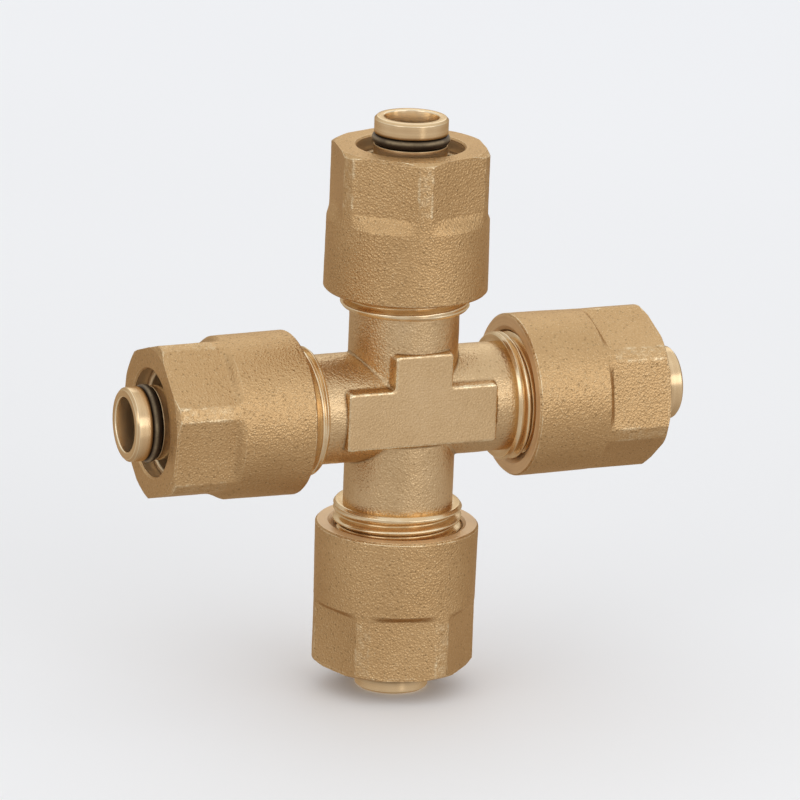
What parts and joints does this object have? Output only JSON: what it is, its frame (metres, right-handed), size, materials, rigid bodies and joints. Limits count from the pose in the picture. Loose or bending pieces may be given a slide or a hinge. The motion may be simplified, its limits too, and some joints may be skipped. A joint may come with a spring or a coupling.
{
  "type": "compression cross fitting",
  "caption": "Brass pipe cross: one forged body with pipe nozzles, and on every arm a hex union nut, a split compression ring, nozzle O-rings and an insulating washer.",
  "frame": {"origin": "the point where the two waterways cross, which is the centre of the bounding box", "axes": "+Z along the top arm, +X along the right arm, -Y out of the front pad of the forging"},
  "size_m": [0.095, 0.0264, 0.095],
  "materials": {
    "forged_brass": "sandblasted forging, satin",
    "nut_brass": "sandblasted forging with turned threads, satin",
    "ring_brass": "turned",
    "seal_rubber": "smooth EPDM",
    "washer_plastic": "satin PTFE"
  },
  "bodies": {
    "root": {"cross_body": "forged_brass", "o_ring_outer_top": "seal_rubber", "o_ring_inner_top": "seal_rubber", "pipe_washer_top": "washer_plastic", "o_ring_outer_bottom": "seal_rubber", "o_ring_inner_bottom": "seal_rubber", "pipe_washer_bottom": "washer_plastic", "o_ring_outer_left": "seal_rubber", "o_ring_inner_left": "seal_rubber", "pipe_washer_left": "washer_plastic", "o_ring_outer_right": "seal_rubber", "o_ring_inner_right": "seal_rubber", "pipe_washer_right": "washer_plastic"},
    "ring_top": {"split_ring_top": "ring_brass"},
    "nut_top": {"union_nut_top": "nut_brass"},
    "ring_bottom": {"split_ring_bottom": "ring_brass"},
    "nut_bottom": {"union_nut_bottom": "nut_brass"},
    "ring_left": {"split_ring_left": "ring_brass"},
    "nut_left": {"union_nut_left": "nut_brass"},
    "ring_right": {"split_ring_right": "ring_brass"},
    "nut_right": {"union_nut_right": "nut_brass"}
  },
  "joints": [
    {"name": "ring_top_slide", "type": "slide", "parent": "root", "child": "ring_top", "axis": [0, 0, 1], "range_m": [-0.00182, 0.01135]},
    {"name": "nut_top_turn", "type": "hinge", "parent": "ring_top", "child": "nut_top", "pos_m": [0, 0, 0], "axis": [0, 0, 1], "range_deg": [-360, 2250]},
    {"name": "ring_bottom_slide", "type": "slide", "parent": "root", "child": "ring_bottom", "axis": [0, 0, -1], "range_m": [-0.00182, 0.01135]},
    {"name": "nut_bottom_turn", "type": "hinge", "parent": "ring_bottom", "child": "nut_bottom", "pos_m": [0, 0, 0], "axis": [0, 0, -1], "range_deg": [-360, 2250]},
    {"name": "ring_left_slide", "type": "slide", "parent": "root", "child": "ring_left", "axis": [-1, 0, 0], "range_m": [-0.00182, 0.01135]},
    {"name": "nut_left_turn", "type": "hinge", "parent": "ring_left", "child": "nut_left", "pos_m": [0, 0, 0], "axis": [-1, 0, 0], "range_deg": [-360, 2250]},
    {"name": "ring_right_slide", "type": "slide", "parent": "root", "child": "ring_right", "axis": [1, 0, 0], "range_m": [-0.00182, 0.01135]},
    {"name": "nut_right_turn", "type": "hinge", "parent": "ring_right", "child": "nut_right", "pos_m": [0, 0, 0], "axis": [1, 0, 0], "range_deg": [-360, 2250]}
  ],
  "couplings": [
    {"joint": "ring_top_slide", "follows": "nut_top_turn", "m_per_rad": 0.00028871},
    {"joint": "ring_bottom_slide", "follows": "nut_bottom_turn", "m_per_rad": 0.00028871},
    {"joint": "ring_left_slide", "follows": "nut_left_turn", "m_per_rad": 0.00028871},
    {"joint": "ring_right_slide", "follows": "nut_right_turn", "m_per_rad": 0.00028871}
  ]
}
